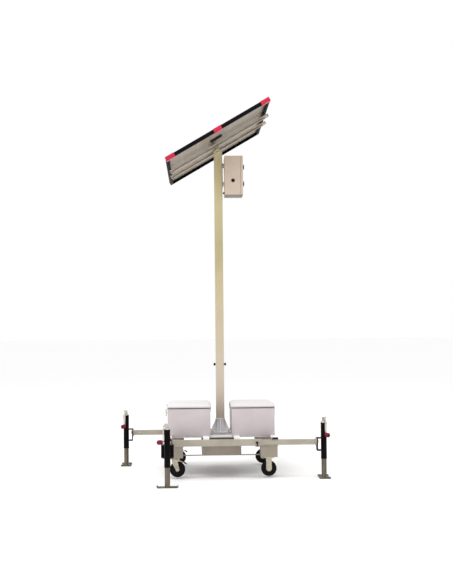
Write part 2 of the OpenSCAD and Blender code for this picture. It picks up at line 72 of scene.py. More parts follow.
def feed(node, feeds):  # a number, a hex colour, an output, or a node for its first output in use
    for key, value in feeds.items():
        if isinstance(value, bpy.types.Node):
            value = next(output for output in value.outputs if output.enabled)
        if isinstance(value, bpy.types.NodeSocket):
            node.id_data.links.new(value, node.inputs[key])
        else:
            node.inputs[key].default_value = hexToLinear(value) if isinstance(value, str) else value
    return node


def addNode(tree, kind, feeds, **settings):
    node = tree.nodes.new("ShaderNode" + kind)
    for key, value in settings.items():
        setattr(node, key, value)
    return feed(node, feeds)


studio = {"sky": "#FFFFFF", "skyPower": 1.0, "floor": "#FCFCFC", "floorSize": 160}
world = bpy.data.worlds.new("studio")
bpy.context.scene.world = world
world.use_nodes = True
feed(world.node_tree.nodes["Background"], {"Color": studio["sky"], "Strength": studio["skyPower"]})

softLights = {  # metres, watts, degrees about X and Z
    "topSoftbox": {"at": (-1.0, -1.5, 7.5), "size": 5.0, "power": 280, "turn": (10, 0)},
    "keySoftbox": {"at": (-6.0, -6.5, 5.0), "size": 3.5, "power": 60, "turn": (58, -43)},
}
for name, light in softLights.items():
    lamp = bpy.data.lights.new(name, "AREA")
    lamp.energy = light["power"]
    lamp.size = light["size"]
    lampHolder = bpy.data.objects.new(name, lamp)
    tip, swing = (math.radians(angle) for angle in light["turn"])
    lampHolder.matrix_world = (Matrix.Translation(light["at"]) @ Matrix.Rotation(swing, 4, "Z")
                               @ Matrix.Rotation(tip, 4, "X"))
    bpy.context.scene.collection.objects.link(lampHolder)


# materials
# numbered inputs: a map range has 0 value, 1 and 2 from, 3 and 4 to; a mix has 0 factor, 6 under, 7 over

def scaleFor(size):  # pattern scale whose features measure that many millimetres
    return 1000 / size


def startMaterial(name, settings):
    mat = bpy.data.materials.new(name)
    mat.use_nodes = True
    tree = mat.node_tree
    tree.nodes.clear()
    shader = addNode(tree, "BsdfPrincipled", settings)
    addNode(tree, "OutputMaterial", {"Surface": shader})
    return mat, tree, shader, addNode(tree, "TexCoord", {})


def paintedSteel(name, look):
    # sprayed or powder-coated steel: satin film with a faint orange peel, cloudy colour,
    # dust on top, thin paint on edges
    mat, tree, shader, place = startMaterial(name, {
        "Roughness": look["rough"], "Coat Weight": look["coat"], "Specular IOR Level": look["gloss"]})
    spot = place.outputs["Object"]
    upward = addNode(tree, "SeparateXYZ", {0: place.outputs["Normal"]}).outputs["Z"]
    clouds = addNode(tree, "TexNoise", {"Vector": spot, "Scale": scaleFor(260), "Detail": 3.0})
    covers = [(addNode(tree, "MapRange", {0: clouds, 1: 0.38, 2: 0.62}), look["shade"])]
    if "top" in look:  # painted light: lighter where it faces up, as if lit from above
        covers.append((addNode(tree, "MapRange", {0: upward, 1: 0.3, 2: 0.9}), look["top"]))
    if "foot" in look:  # painted light: lighter tones near the ground and near the top, against the shade of the boxes and the panel's shadow
        height = addNode(tree, "SeparateXYZ", {0: spot}).outputs["Z"]
        covers.append((addNode(tree, "MapRange", {0: height, 1: 2.2, 2: 0.9}), look["foot"]))
        covers.append((addNode(tree, "MapRange", {0: height, 1: 2.3, 2: 2.9}), look["head"]))
    dust = addNode(tree, "TexNoise", {"Vector": spot, "Scale": scaleFor(35), "Detail": 6.0})
    patches = addNode(tree, "MapRange", {0: dust, 1: 0.35, 2: 0.7})
    lying = addNode(tree, "MapRange", {0: upward, 1: 0.5, 2: 1.0, 4: look["dust"]})
    covers.append((addNode(tree, "Math", {0: lying, 1: patches}, operation="MULTIPLY"), "#D8D2C6"))
    # painted shade: faces turned to the ground are darkened towards brown
    covers.append((addNode(tree, "MapRange", {0: upward, 1: -0.5, 2: -0.95, 4: look["grime"]}), "#5E564C"))
    rounded = addNode(tree, "Bevel", {"Radius": 2.5 * mm}, samples=4)
    flat = addNode(tree, "NewGeometry", {}).outputs["Normal"]
    along = addNode(tree, "VectorMath", {0: rounded, 1: flat}, operation="DOT_PRODUCT").outputs["Value"]
    edges = addNode(tree, "MapRange", {0: along, 1: 0.99, 2: 0.9, 4: look["wear"]})
    chips = addNode(tree, "TexNoise", {"Vector": spot, "Scale": scaleFor(14), "Detail": 4.0})
    flakes = addNode(tree, "MapRange", {0: chips, 1: 0.42, 2: 0.6})
    covers.append((addNode(tree, "Math", {0: edges, 1: flakes}, operation="MULTIPLY"), look["edge"]))
    colour = look["colour"]
    for cover, tint in covers:
        colour = addNode(tree, "Mix", {0: cover, 6: colour, 7: tint}, data_type="RGBA")
    # real orange peel is 1 to 2 mm across; it is drawn at 6 mm so that it shows
    peel = addNode(tree, "TexNoise", {"Vector": spot, "Scale": scaleFor(6), "Detail": 2.0})
    bump = addNode(tree, "Bump", {"Height": peel, "Distance": look["peel"] * mm})
    feed(shader, {"Base Color": colour, "Normal": bump})
    return mat


# in each look, the amount for faces turned to the ground is painted shade
paints = {
    "creamPowderCoat": {"colour": "#A9A193", "shade": "#9D9588", "edge": "#857E70", "rough": 0.5,
                        "coat": 0.03, "dust": 0.2, "wear": 0.5, "peel": 0.12, "gloss": 0.35, "grime": 0.5},
    # a darker copy of the cream, painted shade for the caster boxes and the tray, with more dust
    "roadWornCream": {"colour": "#9C9285", "shade": "#90877A", "edge": "#6F685D", "rough": 0.6, "coat": 0.0,
                      "dust": 0.35, "wear": 0.5, "peel": 0.12, "gloss": 0.25, "grime": 0.6},
    "whitePowderCoat": {"colour": "#F4F3F4", "shade": "#EBEAEB", "edge": "#A8A49E", "rough": 0.42,
                        "coat": 0.05, "dust": 0.15, "wear": 0.35, "peel": 0.12, "gloss": 0.4, "grime": 0.3},
    "greyBoxPowderCoat": {"colour": "#C6BCBE", "shade": "#BFB5B7", "edge": "#9A9391", "rough": 0.5,
                          "coat": 0.03, "dust": 0.2, "wear": 0.35, "peel": 0.18, "gloss": 0.35, "grime": 0.3},
    # the lid's top colour is painted light: faces turned up are drawn lighter
    "whiteLidPowderCoat": {"colour": "#C2BEC0", "shade": "#BBB7BA", "top": "#DCD8DA", "edge": "#B3AFAC",
                           "rough": 0.45, "coat": 0.05, "dust": 0.15, "wear": 0.3, "peel": 0.15,
                           "gloss": 0.4, "grime": 0.3},
    # foot and head are painted light: lighter tones low down and at the top, where the mast is in shade
    "mastEnamel": {"colour": "#BEB187", "shade": "#B5A980", "edge": "#9B9172", "rough": 0.4, "coat": 0.08,
                   "dust": 0.2, "wear": 0.35, "peel": 0.08, "foot": "#C5B8A7", "head": "#D6CA9F",
                   "gloss": 0.4, "grime": 0.4},
    "blackEnamel": {"colour": "#090506", "shade": "#0F090B", "edge": "#3A3432", "rough": 0.42, "coat": 0.0,
                    "dust": 0.06, "wear": 0.4, "peel": 0.1, "gloss": 0.05, "grime": 0.0},
}
paint = {name: paintedSteel(name, look) for name, look in paints.items()}


def plainPlastic(name, look):
    # injection moulding: even colour, fine spark-eroded grain, slightly shinier on rubbed high spots
    mat, tree, shader, place = startMaterial(name, {"Specular IOR Level": look["gloss"]})
    spot = place.outputs["Object"]
    upward = addNode(tree, "SeparateXYZ", {0: place.outputs["Normal"]}).outputs["Z"]
    flow = addNode(tree, "TexNoise", {"Vector": spot, "Scale": scaleFor(90), "Detail": 2.0})
    # the second cover is painted shade: faces turned to the ground are tinted towards dark brown
    covers = [(addNode(tree, "MapRange", {0: flow, 1: 0.35, 2: 0.65}), look["shade"]),
              (addNode(tree, "MapRange", {0: upward, 1: -0.5, 2: -0.95, 4: look["grime"]}), "#2E2925")]
    colour = look["colour"]
    for cover, tint in covers:
        colour = addNode(tree, "Mix", {0: cover, 6: colour, 7: tint}, data_type="RGBA")
    # mould grain is under 1 mm; it is drawn at grainSize so that it shows
    grain = addNode(tree, "TexVoronoi", {"Vector": spot, "Scale": scaleFor(look["grainSize"])})
    rough = addNode(tree, "MapRange", {0: grain, 1: 0.1, 2: 0.8, 3: look["rough"] - 0.08,
                                       4: look["rough"] + 0.1})
    bump = addNode(tree, "Bump", {"Height": grain, "Distance": look["grain"] * mm})
    feed(shader, {"Base Color": colour, "Roughness": rough, "Normal": bump})
    return mat


# in each look, the amount for faces turned to the ground is painted shade
plastics = {
    "mouldedBlackAbs": {"colour": "#110D0F", "shade": "#191416", "rough": 0.5, "grainSize": 4, "grain": 0.15,
                        "gloss": 0.2, "grime": 0.2},
    "batteryPolypropylene": {"colour": "#1B1C1F", "shade": "#242528", "rough": 0.55, "grainSize": 5,
                             "grain": 0.15, "gloss": 0.3, "grime": 0.2},
    "enclosureAbs": {"colour": "#D6C4B0", "shade": "#D0BEAD", "rough": 0.46, "grainSize": 5, "grain": 0.12,
                     "gloss": 0.4, "grime": 0.8},
    "redGuardPvc": {"colour": "#C4153F", "shade": "#B01038", "rough": 0.3, "grainSize": 8, "grain": 0.05,
                    "gloss": 0.4, "grime": 0.2},
    "redGripPolyamide": {"colour": "#7E1230", "shade": "#6C0E28", "rough": 0.4, "grainSize": 5, "grain": 0.1,
                         "gloss": 0.25, "grime": 0.2},
    "epdmRubber": {"colour": "#151113", "shade": "#1D181A", "rough": 0.75, "grainSize": 4, "grain": 0.2,
                   "gloss": 0.15, "grime": 0.2},
}
plastic = {name: plainPlastic(name, look) for name, look in plastics.items()}


def bareMetal(name, look):
    # plated, galvanised or mill-finish metal: crystals or draw lines, blotchy film, finger marks in the gloss
    mat, tree, shader, place = startMaterial(name, {"Metallic": look["metallic"],
                                                    "Specular IOR Level": look["gloss"]})
    spot = addNode(tree, "Mapping", {"Vector": place.outputs["Object"], "Scale": look["stretch"],
                                     "Rotation": look["turn"]})
    crystals = addNode(tree, "TexVoronoi", {"Vector": spot, "Scale": scaleFor(look["crystal"])})
    tone = addNode(tree, "SeparateColor", {"Color": crystals.outputs["Color"]})
    blotch = addNode(tree, "TexNoise", {"Vector": spot, "Scale": scaleFor(look["blotch"]), "Detail": 5.0})
    covers = [(addNode(tree, "MapRange", {0: blotch, 1: 0.35, 2: 0.65}), look["shade"]),
              (addNode(tree, "MapRange", {0: tone, 4: look["spangle"]}), look["glint"])]
    colour = look["colour"]
    for cover, tint in covers:
        colour = addNode(tree, "Mix", {0: cover, 6: colour, 7: tint}, data_type="RGBA")
    rough = addNode(tree, "MapRange", {0: blotch, 1: 0.3, 2: 0.7, 3: look["rough"] - 0.06,
                                       4: look["rough"] + 0.1})
    bump = addNode(tree, "Bump", {"Height": blotch, "Distance": 0.06 * mm})
    feed(shader, {"Base Color": colour, "Roughness": rough, "Normal": bump})
    return mat


metals = {
    "brightZincPlate": {"colour": "#CAC5BA", "shade": "#B5AF9F", "glint": "#E2DFD6", "rough": 0.36,
                        "crystal": 3, "blotch": 22, "spangle": 0.35, "stretch": (1, 1, 1)},
    "galvanisedSteel": {"colour": "#706859", "shade": "#61594D", "glint": "#837B6C", "rough": 0.42,
                        "crystal": 4, "blotch": 45, "spangle": 0.4, "stretch": (1, 1, 0.5)},
    "castCaster": {"colour": "#B8AF9E", "shade": "#A29A8B", "glint": "#CFC8B8", "rough": 0.4, "crystal": 4,
                   "blotch": 30, "spangle": 0.4, "stretch": (1, 1, 1)},
    "millAluminium": {"colour": "#BDB3A3", "shade": "#A79D8D", "glint": "#CBC2B4", "rough": 0.42,
                      "crystal": 12, "blotch": 20, "spangle": 0.3, "stretch": (0.05, 1, 1)},
    "blackAnodisedAluminium": {"colour": "#121015", "shade": "#0D0B10", "glint": "#17151A", "rough": 0.55,
                               "crystal": 12, "blotch": 20, "spangle": 0.3, "stretch": (1, 0.05, 1),
                               "metallic": 0.0, "gloss": 0.04},
}
slopeAngle = math.radians(joints["panel_tilt"]["range_deg"][1])
metals["millAluminium"]["turn"] = (0, slopeAngle, 0)
polished = {"metallic": 1.0, "gloss": 0.5, "turn": (0, 0, 0)}  # where a metal says nothing else
metal = {name: bareMetal(name, {**polished, **look}) for name, look in metals.items()}


def tyreRubber():
    # cured solid tyre: matt black, grey floor dust worn into the tread and the sidewall
    mat, tree, shader, place = startMaterial("tyreRubber", {"Roughness": 0.75, "Specular IOR Level": 0.12})
    dust = addNode(tree, "TexNoise", {"Vector": place.outputs["Object"], "Scale": scaleFor(12),
                                      "Detail": 8.0, "Roughness": 0.7})
    worn = addNode(tree, "MapRange", {0: dust, 1: 0.45, 2: 0.75, 4: 0.08})
    colour = addNode(tree, "Mix", {0: worn, 6: "#0D0808", 7: "#5A504C"}, data_type="RGBA")
    bump = addNode(tree, "Bump", {"Height": dust, "Distance": 0.25 * mm})
    feed(shader, {"Base Color": colour, "Normal": bump})
    return mat


def solarGlass(cell, tilt, pivot):
    # cover glass over half-cut cells: deep blue-black, white grid between cells, silver busbars, wet gloss
    mat, tree, shader, place = startMaterial("solarGlass", {"Roughness": 0.12, "IOR": 1.52,
                                                            "Coat Weight": 1.0, "Coat Roughness": 0.03})
    laid = addNode(tree, "Mapping", {"Vector": place.outputs["Object"], "Location": pivot,
                                     "Rotation": (0, -tilt, 0)}, vector_type="TEXTURE")
    across = addNode(tree, "SeparateXYZ", {0: laid})
    ruled = []
    lines = []
    for axis in "XY":
        start, pitch = cell["start" + axis], cell["pitch" + axis]
        shifted = addNode(tree, "Math", {0: across.outputs[axis], 1: start}, operation="SUBTRACT")
        steps = addNode(tree, "Math", {0: shifted, 1: pitch}, operation="DIVIDE")
        ruled.append(addNode(tree, "Math", {0: steps}, operation="FRACT"))
        reach = addNode(tree, "Math", {0: ruled[-1], 1: 0.5}, operation="PINGPONG")
        lines.append(addNode(tree, "Math", {0: reach, 1: cell["gap"] / 2 / pitch}, operation="LESS_THAN"))
    grid = addNode(tree, "Math", {0: lines[0], 1: lines[1]}, operation="MAXIMUM")
    bars = addNode(tree, "Math", {0: ruled[0], 1: cell["busbars"]}, operation="MULTIPLY")
    barSpot = addNode(tree, "Math", {0: bars}, operation="FRACT")
    barLine = addNode(tree, "Math", {0: barSpot, 1: 0.5, 2: 0.025}, operation="COMPARE")
    clouds = addNode(tree, "TexNoise", {"Vector": laid, "Scale": scaleFor(120)})
    colour = "#0C1026"
    for cover, tint in ((clouds, "#182040"), (barLine, "#7F8894"), (grid, "#C9CCD2")):
        colour = addNode(tree, "Mix", {0: cover, 6: colour, 7: tint}, data_type="RGBA")
    feed(shader, {"Base Color": colour})
    return mat


def backsheetFilm(cell, tilt, pivot):
    # laminated polymer film on the module's back: warm grey-white, the cells showing through as faint squares
    mat, tree, shader, place = startMaterial("backsheetFilm", {"Roughness": 0.42})
    laid = addNode(tree, "Mapping", {"Vector": place.outputs["Object"], "Location": pivot,
                                     "Rotation": (0, -tilt, 0)}, vector_type="TEXTURE")
    tiles = addNode(tree, "TexBrick", {
        "Vector": laid, "Color1": "#908475", "Color2": "#8A7E70", "Mortar": "#A1978A", "Scale": 1.0,
        "Mortar Size": cell["gap"] * 1.5, "Brick Width": cell["pitchX"], "Row Height": cell["pitchY"],
    }, offset=0.0)
    waves = addNode(tree, "TexNoise", {"Vector": laid, "Scale": scaleFor(300), "Detail": 3.0})
    wavy = addNode(tree, "MapRange", {0: waves, 1: 0.35, 2: 0.65, 4: 0.45})
    colour = addNode(tree, "Mix", {0: wavy, 6: tiles, 7: "#7A6A59"}, data_type="RGBA")
    bump = addNode(tree, "Bump", {"Height": waves, "Distance": 1.5 * mm})
    feed(shader, {"Base Color": colour, "Normal": bump})
    return mat


pivot = Vector(joints["panel_tilt"]["pos_m"])
solarCell = {"pitchX": 0.1833, "pitchY": 0.0935, "startX": -0.526, "startY": -0.8415, "gap": 0.004,
             "busbars": 9}
rubber = tyreRubber()
glass = solarGlass(solarCell, slopeAngle, pivot)
backsheet = backsheetFilm(solarCell, slopeAngle, pivot)
floorMat = startMaterial("studioFloor", {"Roughness": 0.9, "Base Color": studio["floor"]})[0]
print("camera, light and materials are set")

slotLook = {
    "cream_frame_paint": paint["creamPowderCoat"], "white_frame_paint": paint["whitePowderCoat"],
    "box_paint": paint["greyBoxPowderCoat"], "lid_paint": paint["whiteLidPowderCoat"],
    "mast_paint": paint["mastEnamel"], "black_plastic": plastic["mouldedBlackAbs"],
    "black_paint": paint["blackEnamel"], "dark_casing": plastic["batteryPolypropylene"],
    "zinc_plate": metal["brightZincPlate"], "zinc_leg": metal["galvanisedSteel"], "wheel_rubber": rubber,
    "enclosure_plastic": plastic["enclosureAbs"], "black_aluminium": metal["blackAnodisedAluminium"],
    "laminate": glass, "rail_aluminium": metal["millAluminium"], "red_guard": plastic["redGuardPvc"],
}
slotOf = {part["node"]: part["material_slot"] for part in frame["record"]["subparts"]}
for name, node in nodes.items():
    node.data.materials.clear()
    node.data.materials.append(slotLook[slotOf[name]])


# ways of making

def only(obj):
    bpy.ops.object.select_all(action="DESELECT")
    obj.select_set(True)
    bpy.context.view_layer.objects.active = obj


def addShape(kind, name, **settings):  # a primitive, alone and selected, with its place in its mesh
    bpy.ops.object.select_all(action="DESELECT")
    getattr(bpy.ops.mesh, f"primitive_{kind}_add")(**settings)
    obj = bpy.context.object
    obj.name = obj.data.name = name
    bpy.ops.object.transform_apply(location=True, rotation=True, scale=True)
    return obj


def drawLine(name, points):  # one vertex pulled from point to point, in millimetres; stays in edit mode
    obj = addShape("plane", name, size=mm, location=Vector(points[0]) * mm)
    bpy.ops.object.mode_set(mode="EDIT")
    bpy.ops.mesh.select_all(action="SELECT")
    bpy.ops.mesh.merge(type="CENTER")
    for a, b in zip(points, points[1:]):
        bpy.ops.mesh.extrude_region_move(TRANSFORM_OT_translate={"value": (Vector(b) - Vector(a)) * mm})
    bpy.ops.mesh.select_all(action="SELECT")
    bpy.ops.mesh.remove_doubles(threshold=0.005 * mm)
    return obj


def closeUp(obj):  # merges, turns the faces outwards and leaves edit mode
    bpy.ops.mesh.select_all(action="SELECT")
    bpy.ops.mesh.remove_doubles(threshold=0.005 * mm)
    bpy.ops.mesh.normals_make_consistent(inside=False)
    bpy.ops.object.mode_set(mode="OBJECT")
    return obj


def lathe(name, profile, steps=32):  # (radius, height) points turned round Z
    obj = drawLine(name, [(r, 0, h) for r, h in profile])
    bpy.ops.mesh.spin(steps=steps, angle=2 * math.pi, center=(0, 0, 0), axis=(0, 0, 1))
    return closeUp(obj)


def slab(name, outline, thick):  # (x, z) points, closed, with the thickness centred on Y
    obj = drawLine(name, [(x, -thick / 2, z) for x, z in outline + outline[:1]])
    bpy.ops.mesh.edge_face_add()
    bpy.ops.mesh.extrude_region_move(TRANSFORM_OT_translate={"value": (0, thick * mm, 0)})
    return closeUp(obj)


def boxOf(name, low, high):
    low, high = Vector(low) * mm, Vector(high) * mm
    return addShape("cube", name, size=1, location=(low + high) / 2, scale=high - low)


def arc(x, z, radius, start, stop, count=5):  # degrees
    angles = [math.radians(start + (stop - start) * i / count) for i in range(count + 1)]
    return [(x + radius * math.cos(a), z + radius * math.sin(a)) for a in angles]


def roundedRectangle(w, d, radius, count=4):  # centred outline
    x, y = w / 2 - radius, d / 2 - radius
    return (arc(x, y, radius, 0, 90, count) + arc(-x, y, radius, 90, 180, count)
            + arc(-x, -y, radius, 180, 270, count) + arc(x, -y, radius, 270, 360, count))


def closedRing(w, d, radius, count, middle=(0, 0)):  # that outline ending where it starts
    outline = [(x + middle[0], y + middle[1]) for x, y in roundedRectangle(w, d, radius, count)]
    return outline + outline[:1]


def applyModifier(obj, kind, **settings):
    only(obj)
    modifier = obj.modifiers.new(kind.lower(), kind)
    for key, value in settings.items():
        setattr(modifier, key, value)
    bpy.ops.object.modifier_apply(modifier=modifier.name)
    return obj


def soften(obj, width, segments=2, angle=30):  # rolled edges, then smooth faces up to that angle
    if width:
        applyModifier(obj, "BEVEL", width=width * mm, segments=segments, limit_method="ANGLE",
                      angle_limit=math.radians(angle), use_clamp_overlap=True)
    only(obj)
    bpy.ops.object.shade_smooth_by_angle(angle=math.radians(angle + 8))
    return obj


def put(obj, matrix):
    obj.data.transform(matrix)
    return obj


def at(x, y, z):  # millimetres
    return Matrix.Translation(Vector((x, y, z)) * mm)


def turned(degrees, axis):
    return Matrix.Rotation(math.radians(degrees), 4, axis)


def join(name, *parts):
    bpy.ops.object.select_all(action="DESELECT")
    for part in parts:
        part.select_set(True)
    bpy.context.view_layer.objects.active = parts[0]
    if len(parts) > 1:
        bpy.ops.object.join()
    parts[0].name = parts[0].data.name = name
    return parts[0]


def twin(obj, matrix):  # a copy with its own mesh, moved
    other = bpy.data.objects.new(obj.name, obj.data.copy())
    bpy.context.scene.collection.objects.link(other)
    return put(other, matrix)


def finish(obj, look, slotName, body, *replaced):
    obj.data.materials.clear()
    obj.data.materials.append(look)
    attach(obj, body)
    if replaced:
        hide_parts(*replaced)
    return obj


def spread(master, name, look, slotName, body, places, node=None):  # a piece's copies, one for each side
    for side, place in places.items():
        other = twin(master, place)
        other.name = other.data.name = f"{name}_{side}"
        finish(other, look, slotName, f"{body}_{side}", *([f"{node}_{side}"] if node else []))
    bpy.data.objects.remove(master)


def softCopy(name, node, width, segments=2):  # a CAD node's copy, merged, with its edges rolled
    obj = bpy.data.objects.new(name, nodes[node].data.copy())
    bpy.context.scene.collection.objects.link(obj)
    only(obj)
    bpy.ops.mesh.customdata_custom_splitnormals_clear()
    bpy.ops.object.mode_set(mode="EDIT")
    bpy.ops.mesh.select_all(action="SELECT")
    bpy.ops.mesh.remove_doubles(threshold=0.01 * mm)
    bpy.ops.mesh.dissolve_limited(angle_limit=math.radians(0.5))
    bpy.ops.object.mode_set(mode="OBJECT")
    return soften(obj, width, segments)


def softPiece(name, node, look, body, width, segments=2):  # that copy as a finished piece
    return finish(softCopy(name, node, width, segments), look, slotOf[node], body, node)


def weldRun(name, points, size, ripple=0.3):  # a bead along points, its thickness rippling
    line = bpy.data.curves.new(name, "CURVE")
    line.dimensions = "3D"
    spline = line.splines.new("POLY")
    spline.points.add(len(points) - 1)
    for i, (point, spot) in enumerate(zip(spline.points, points)):
        point.co = (*(Vector(spot) * mm), 1)
        point.radius = 1 - ripple / 2 + ripple * (i % 2)
    line.bevel_depth = size * mm
    line.bevel_resolution = 1
    line.use_fill_caps = True
    obj = bpy.data.objects.new(name, line)
    bpy.context.scene.collection.objects.link(obj)
    only(obj)
    bpy.ops.object.convert(target="MESH")
    return soften(bpy.context.object, 0, angle=60)


def seam(start, stop, pitch=7):  # points along a straight weld
    start, stop = Vector(start), Vector(stop)
    count = max(3, round((stop - start).length / pitch))
    return [start.lerp(stop, i / count) for i in range(count + 1)]


def hexBolt(name, across, height, washer):  # a head with its washer, standing on z 0
    disc = lathe(name, [(0, 0), (washer, 0), (washer, 1.4), (washer - 0.6, 2), (0, 2)], 24)
    head = lathe(name, [(0, 2), (across * 0.577, 2), (across * 0.577, height), (across * 0.5, height + 1.2),
                        (0, height + 1.2)], 6)
    return soften(join(name, disc, head), 0)


quarterTurn = {side: Matrix.Rotation(i * quarter, 4, "Z") for i, side in enumerate(sides)}
cream, white, black = paint["creamPowderCoat"], paint["whitePowderCoat"], paint["blackEnamel"]
boxGrey, mastCream = paint["greyBoxPowderCoat"], paint["mastEnamel"]
zinc, galvanised, caster = metal["brightZincPlate"], metal["galvanisedSteel"], metal["castCaster"]
blackAbs, sealRubber = plastic["mouldedBlackAbs"], plastic["epdmRubber"]
casing = plastic["batteryPolypropylene"]

floor = addShape("plane", "floor", size=studio["floorSize"], location=(0, 0, -0.5 * mm))
floor.data.materials.append(floorMat)


# base frame

# the darker cream is painted shade for the low parts that stand in shade
shadedCream = paint["roadWornCream"]
frameParts = {  # node: name of its piece, look, rolled edge
    "sleeves": ("outrigger_sleeves", cream, 4), "caster_blocks": ("caster_boxes", shadedCream, 5),
    "deck_frame": ("deck_bars", white, 2.5), "underslung_tray": ("leads_tray", shadedCream, 1.2),
    "mast_foot": ("mast_pedestal", white, 2), "mast_post": ("inner_post", white, 1.5),
}
for node, (pieceName, look, roll) in frameParts.items():
    softPiece(pieceName, node, look, "base", roll, 3)

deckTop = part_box("deck_frame")[1].z / mm
sleeveOut = 545  # outer face of a sleeve from the mast axis
armOffset, armHeight = 515, 346  # an arm's centre line from the mast axis and from the ground
casterOffset = 457.5
sleeveBottom, sleeveTop = (corner.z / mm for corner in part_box("sleeves"))

block, tubeIn = 374, 485  # where the blocks' inner welds and the deck tubes' welds run
edge, low, high = 1 - sleeveOut, sleeveBottom, sleeveTop + 1
frameSeams = [  # blocks to sleeves, then deck tubes to sleeves
    ((block, edge, low), (sleeveOut - 4, edge, low)), ((block, -tubeIn, low), (block, -block, low)),
    ((tubeIn, edge, high), (-edge, edge, high)), ((tubeIn, edge + 2, high), (tubeIn, -tubeIn - 1, high)),
]
beads = [put(weldRun("frame_welds", seam(start, stop), 3.2), matrix) for matrix in quarterTurn.values()
         for start, stop in frameSeams]
finish(join("frame_welds", *beads), cream, "cream_frame_paint", "base")

pedestal = {"post": 37.5, "start": 39, "foot": 95, "gusset": 4, "plate": deckTop + 10, "top": 526}
z = pedestal["plate"]
beads = []
for matrix in quarterTurn.values():
    for y in (-pedestal["gusset"], pedestal["gusset"]):
        for start, stop in (((pedestal["start"], y, z), (pedestal["foot"], y, z)),
                            ((pedestal["post"], y, z), (pedestal["post"], y, pedestal["top"]))):
            beads.append(put(weldRun("pedestal_welds", seam(start, stop), 3.5), matrix))
finish(join("pedestal_welds", *beads), white, "white_frame_paint", "base")

plug = {"w": 60, "h": 60, "lip": 3, "dome": 2.2, "stem": 14}
deckPlug = {"w": 60, "h": 20, "lip": 3, "dome": 1.2, "stem": 14}


def tubePlug(name, size):  # a pressed-in end cap: domed lip and ribbed stem, facing +X
    w, h = size["w"] / 2, size["h"] / 2
    lip = boxOf(name, (0, -w, -h), (size["lip"] - size["dome"], w, h))
    only(lip)
    bpy.ops.object.mode_set(mode="EDIT")
    bpy.ops.mesh.select_all(action="DESELECT")
    bpy.ops.object.mode_set(mode="OBJECT")
    for face in lip.data.polygons:
        face.select = face.normal.x > 0.9
    bpy.ops.object.mode_set(mode="EDIT")
    bpy.ops.mesh.inset(thickness=3 * mm, depth=size["dome"] * mm)
    bpy.ops.object.mode_set(mode="OBJECT")
    ribs = [boxOf(name, (-x - 2, 2.4 - w, 2.4 - h), (-x, w - 2.4, h - 2.4))
            for x in range(2, size["stem"], 4)]
    stem = boxOf(name, (-size["stem"], 5 - w, 5 - h), (0, w - 5, h - 5))
    return soften(join(name, lip, stem, *ribs), 0.8)


sleeveEnd = at(-478, -armOffset, armHeight) @ turned(180, "Z")  # closed end of a sleeve along its own arm
plugs = [put(tubePlug("frame_plugs", plug), matrix @ sleeveEnd) for matrix in quarterTurn.values()]
for x, y in corners:
    tubeEnd = at(x * armOffset, y * sleeveOut, 386) @ turned(90 * y, "Z")
    plugs.append(put(tubePlug("frame_plugs", deckPlug), tubeEnd))
finish(join("frame_plugs", *plugs), blackAbs, "black_plastic", "base", "end_plugs")

spring = {"at": 340, "grip": 40, "gripRadius": 5}


def springPin():  # plunger body with a hex and a hanging T-grip, pointing along -Y
    body = lathe("arm_lock_pins", [(0, -1), (6, -1), (6, 0), (11, 0), (11, 9), (9.5, 10), (9.5, 14),
                                   (7, 14.5), (5, 15), (5, 26), (0, 26)])
    nut = lathe("arm_lock_pins", [(0, 0.5), (12.4, 0.5), (12.4, 6.5), (11.4, 7.4), (0, 7.4)], 6)
    for part in (body, nut):
        put(part, turned(90, "X"))
    stem = put(lathe("arm_lock_pins", [(0, -30), (4.4, -30), (5, -28), (5, 9), (3.5, 11), (0, 11)], 20),
               at(0, -28, 0))
    half, r = spring["grip"] / 2, spring["gripRadius"]
    grip = lathe("arm_lock_pins", [(0, -half)] + arc(0, -half + r, r, -75, 0, 4)
                 + [(r * 0.82, -6), (r * 0.82, 6)] + arc(0, half - r, r, 0, 75, 4) + [(0, half)], 20)
    put(grip, at(0, -28, -30) @ turned(90, "Y"))
    return soften(join("arm_lock_pins", body, nut, stem, grip), 0)


pin = springPin()
pins = [twin(pin, matrix @ at(spring["at"], -sleeveOut, armHeight)) for matrix in quarterTurn.values()]
bpy.data.objects.remove(pin)
finish(join("arm_lock_pins", *pins), black, "black_paint", "base", "arm_pins")

footBolt = {"across": 19, "height": 9, "washer": 14}
plateBolt = {"across": 13, "height": 6, "washer": 10}
boltReach = {"foot": 80, "plate": 38, "plateBottom": 199}
heads = []
master = hexBolt("frame_bolts", **footBolt)
for x, y in corners:
    spot = at(x * boltReach["foot"], y * boltReach["foot"], 0)
    heads.append(twin(master, spot @ at(0, 0, deckTop + 10)))
    heads.append(twin(master, spot @ at(0, 0, sleeveTop) @ turned(180, "X")))
bpy.data.objects.remove(master)
master = hexBolt("frame_bolts", **plateBolt)
for casterX, casterY in corners:
    for x, y in corners:
        spot = at(casterX * casterOffset, casterY * casterOffset, boltReach["plateBottom"])
        heads.append(twin(master, spot @ at(x * boltReach["plate"], y * boltReach["plate"], 0)
                          @ turned(180, "X")))
bpy.data.objects.remove(master)
finish(join("frame_bolts", *heads), zinc, "zinc_plate", "base", "base_bolts")
print("base frame is made")


# outrigger arms and jacks

arm = {"roll": 4, "weld": 3, "plateX": 910, "nutX": 927.2, "w": 52}
jack = {"axis": 990, "tube": 28.5, "leg": 25}
pivotNut = {"across": 24, "height": 10, "washer": 17}
armMaster = softCopy("arm_beam", "arm_front_right", arm["roll"], 3)
edge = closedRing(arm["w"], arm["w"], 5, 3)
rim = weldRun("arm_beam", [(arm["plateX"], y - armOffset, z + armHeight) for y, z in edge], arm["weld"])
armMaster = join("arm_beam", armMaster, rim)
spread(armMaster, "arm_beam", cream, "cream_frame_paint", "arm", quarterTurn, "arm")

nut = put(hexBolt("jack_pivot_nut", **pivotNut), at(arm["nutX"], -armOffset, armHeight) @ turned(90, "Y"))
spread(nut, "jack_pivot_nut", zinc, "zinc_plate", "arm", quarterTurn)

